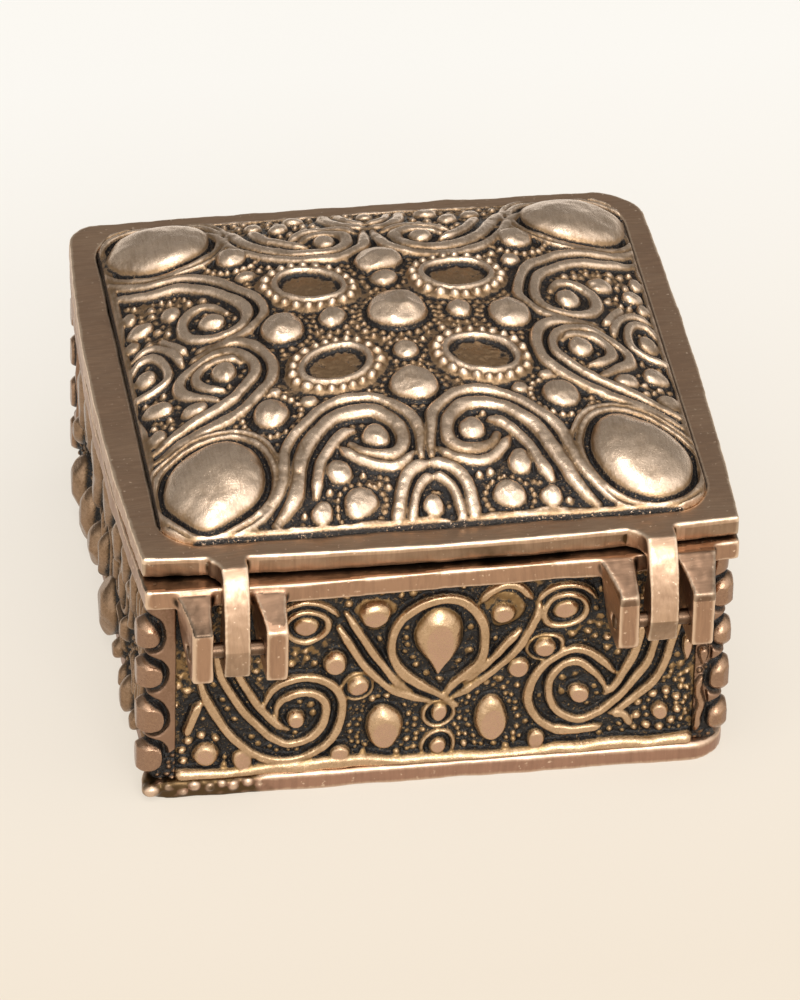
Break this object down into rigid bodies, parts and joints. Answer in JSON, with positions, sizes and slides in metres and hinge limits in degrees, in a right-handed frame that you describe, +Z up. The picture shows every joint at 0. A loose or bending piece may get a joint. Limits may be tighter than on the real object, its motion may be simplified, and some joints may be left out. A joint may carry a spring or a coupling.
{
  "type": "hinged trinket box",
  "caption": "Small square cast brass box with scroll-and-bead ornament and a domed lid that swings on rear strap hinges.",
  "frame": {"origin": "centre of the flat bottom, on the surface that the box stands on", "axes": "+Z up, out of the bottom towards the domed lid; +Y to the rear, where the hinges are; +X to the left of someone who faces the rear"},
  "size_m": [0.0934, 0.0999, 0.0563],
  "materials": {
    "brushed_brass": "filed and brushed bare brass, browned by handling",
    "cast_brass": "rough sand-cast brass, polished on the high spots with a near-black patina in the recesses"
  },
  "bodies": {
    "box": {"base_plate": "brushed_brass", "base_rail": "brushed_brass", "rear_wall": "cast_brass", "front_wall": "cast_brass", "left_wall": "cast_brass", "right_wall": "cast_brass", "rear_left_post": "cast_brass", "rear_right_post": "cast_brass", "front_left_post": "cast_brass", "front_right_post": "cast_brass", "top_rail": "brushed_brass", "left_hinge_pin": "brushed_brass", "right_hinge_pin": "brushed_brass"},
    "lid": {"lid_rim": "brushed_brass", "lid_panel": "cast_brass"}
  },
  "joints": [
    {"name": "lid_hinge", "type": "hinge", "parent": "box", "child": "lid", "pos_m": [0, 0.051, 0.032], "axis": [-1, 0, 0], "range_deg": [0, 180]}
  ]
}
